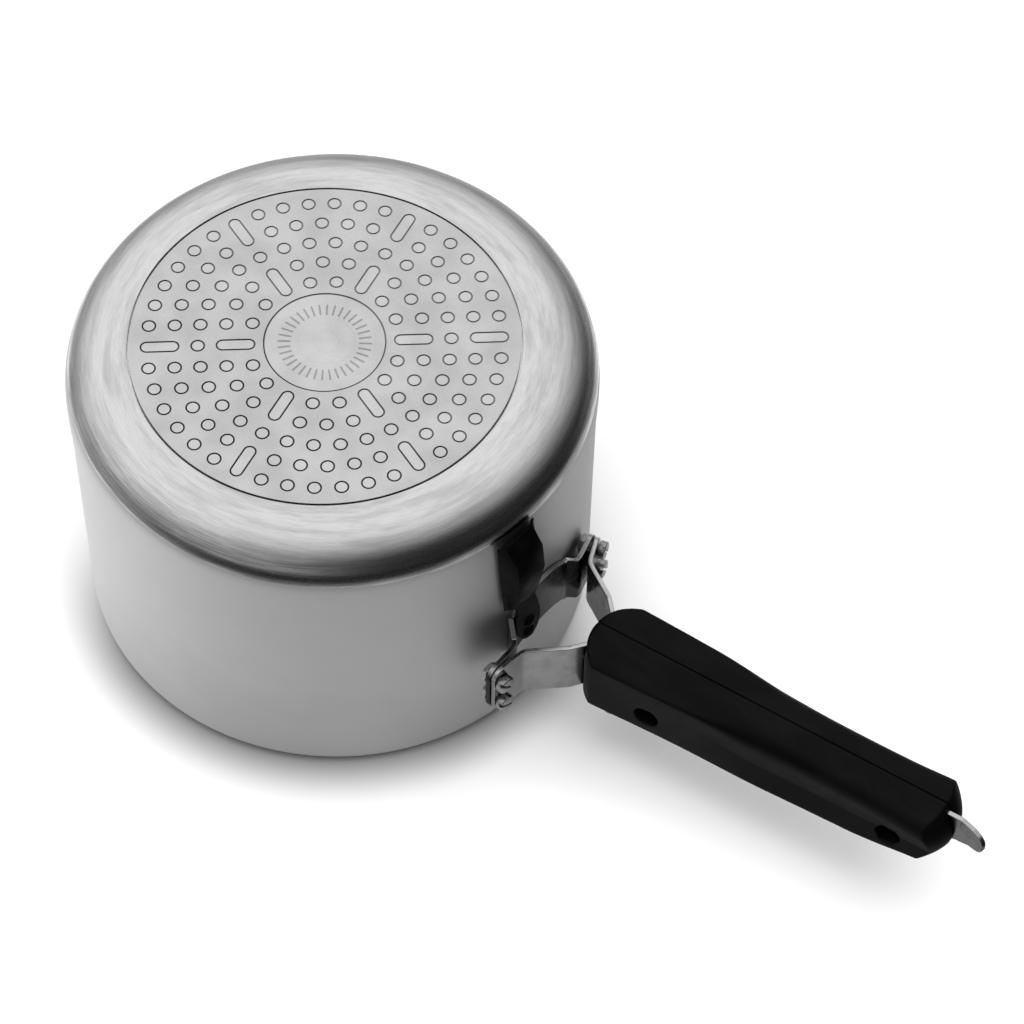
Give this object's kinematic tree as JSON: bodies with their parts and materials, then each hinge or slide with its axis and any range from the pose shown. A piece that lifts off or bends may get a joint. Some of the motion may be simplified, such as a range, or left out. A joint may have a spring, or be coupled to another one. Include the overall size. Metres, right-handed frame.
{
  "type": "pressure cooker body",
  "caption": "Aluminium stovetop pressure cooker body, upside down, with a dotted induction base plate, a clamped steel bracket with flame guard and a long black split handle.",
  "frame": {"origin": "on the outer face of the induction base plate, on the pot's axis", "axes": "the cooker stands upside down as in the picture: +Z out of the base plate, along the pot's axis; +X along the handle, away from the pot"},
  "size_m": [0.3716, 0.1896, 0.131],
  "materials": {
    "pot_aluminium": "satin wall, circumferentially polished base edge",
    "plate_alloy": "pressed and lightly brushed",
    "plated_steel": "bright plated",
    "fastener_steel": "zinc plated",
    "black_phenolic": "moulded phenolic, satin",
    "black_paint": "satin heat-resistant paint",
    "blackened_steel": "black oxide"
  },
  "bodies": {
    "root": {"pot_body": "pot_aluminium", "induction_plate": "plate_alloy", "saddle_strap": "plated_steel", "yoke_left": "plated_steel", "yoke_right": "plated_steel", "flame_guard": "black_paint", "saddle_rivet_1": "black_paint", "saddle_rivet_2": "black_paint", "ear_screw_left_upper": "fastener_steel", "ear_screw_left_lower": "fastener_steel", "ear_screw_right_upper": "fastener_steel", "ear_screw_right_lower": "fastener_steel", "ear_nut_left_upper": "fastener_steel", "ear_nut_left_lower": "fastener_steel", "ear_nut_right_upper": "fastener_steel", "ear_nut_right_lower": "fastener_steel", "handle_half_left": "black_phenolic", "handle_half_right": "black_phenolic", "handle_bolt_front": "blackened_steel", "handle_bolt_rear": "blackened_steel", "handle_nut_front": "blackened_steel", "handle_nut_rear": "blackened_steel", "rest_stud_left": "fastener_steel", "rest_stud_right": "fastener_steel"}
  },
  "joints": []
}
